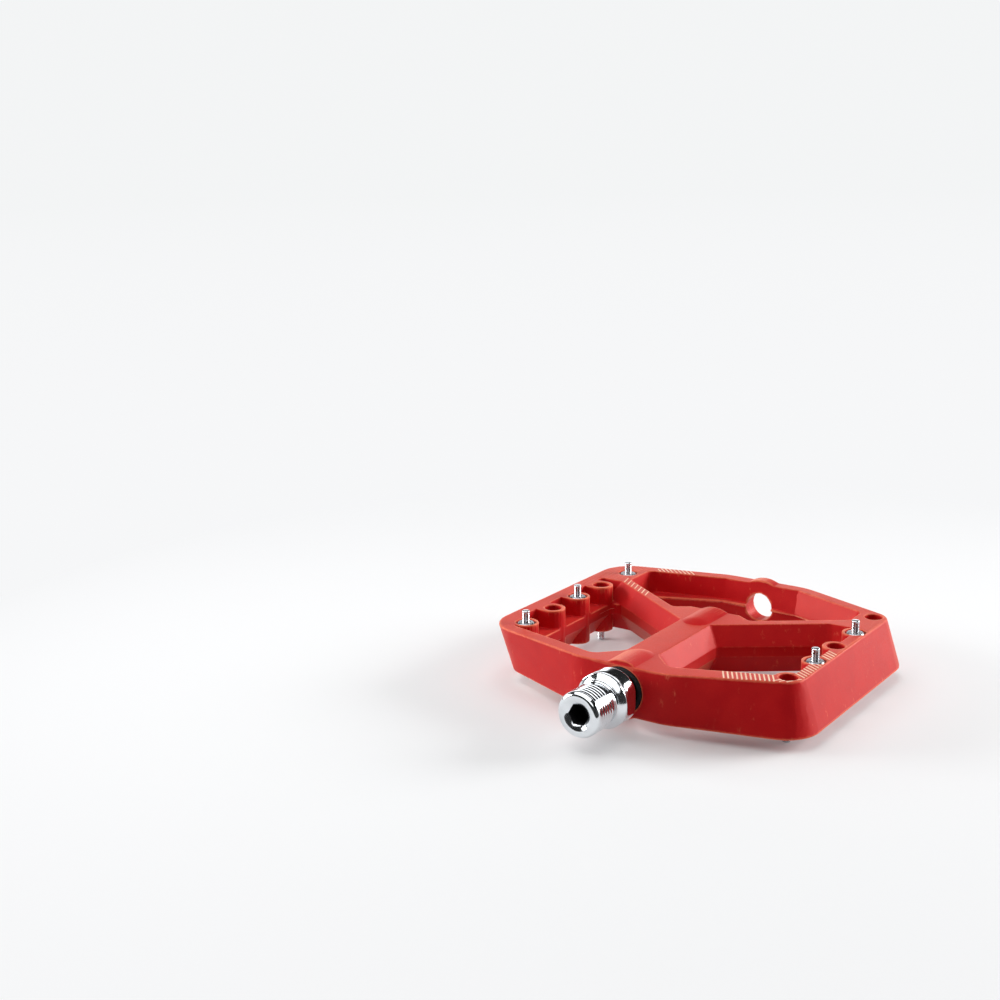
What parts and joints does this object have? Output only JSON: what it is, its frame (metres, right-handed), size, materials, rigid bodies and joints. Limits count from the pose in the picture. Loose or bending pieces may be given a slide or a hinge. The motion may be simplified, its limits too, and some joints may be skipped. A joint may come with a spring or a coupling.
{
  "type": "bicycle flat pedal",
  "caption": "Flat platform pedal: moulded open frame with traction pins, turning on a threaded steel spindle through a bushing and ball bearings.",
  "frame": {"origin": "centre of the spindle at the shoulder that seats against the crank arm", "axes": "+Y along the spindle from the crank into the platform, +Z out of the upper face, whose wide side lies towards -X"},
  "size_m": [0.1118, 0.126, 0.0242],
  "materials": {
    "nylon_red": "fine-grained moulded red nylon",
    "polished_steel": "polished bright steel",
    "pin_steel": "bright plated screws",
    "cap_silver": "satin turned",
    "plain_steel": "plain turned steel",
    "bearing_steel": "ground",
    "ball_steel": "polished",
    "cage_brass": "pressed",
    "bushing_bronze": "sintered bearing bronze",
    "seal_rubber": "matt black",
    "shield_rubber": "matt black"
  },
  "bodies": {
    "spindle": {"spindle": "polished_steel", "inner_bearing_inner_race": "bearing_steel", "outer_bearing_inner_race": "bearing_steel", "lock_washer": "plain_steel", "lock_nut": "plain_steel"},
    "platform": {"pedal_body": "nylon_red", "inboard_seal": "seal_rubber", "inboard_bushing": "bushing_bronze", "inner_bearing_outer_race": "bearing_steel", "inner_bearing_shields": "shield_rubber", "outer_bearing_outer_race": "bearing_steel", "outer_bearing_shields": "shield_rubber", "end_cap": "cap_silver", "end_cap_ring": "seal_rubber", "upper_pin_1": "pin_steel", "upper_pin_2": "pin_steel", "upper_pin_3": "pin_steel", "upper_pin_4": "pin_steel", "upper_pin_5": "pin_steel", "lower_pin_1": "pin_steel", "lower_pin_2": "pin_steel", "lower_pin_3": "pin_steel", "lower_pin_4": "pin_steel", "lower_pin_5": "pin_steel", "upper_pin_nuts": "pin_steel", "lower_pin_nuts": "pin_steel"},
    "bearing_rollers": {"inner_bearing_balls": "ball_steel", "inner_bearing_cage": "cage_brass", "outer_bearing_balls": "ball_steel", "outer_bearing_cage": "cage_brass"}
  },
  "joints": [
    {"name": "platform_spin", "type": "hinge", "parent": "spindle", "child": "platform", "pos_m": [0, 0.06, 0], "axis": [0, 1, 0], "continuous": true},
    {"name": "roller_spin", "type": "hinge", "parent": "spindle", "child": "bearing_rollers", "pos_m": [0, 0.06, 0], "axis": [0, 1, 0], "continuous": true}
  ],
  "couplings": [
    {"joint": "roller_spin", "follows": "platform_spin", "ratio": 0.5909}
  ]
}
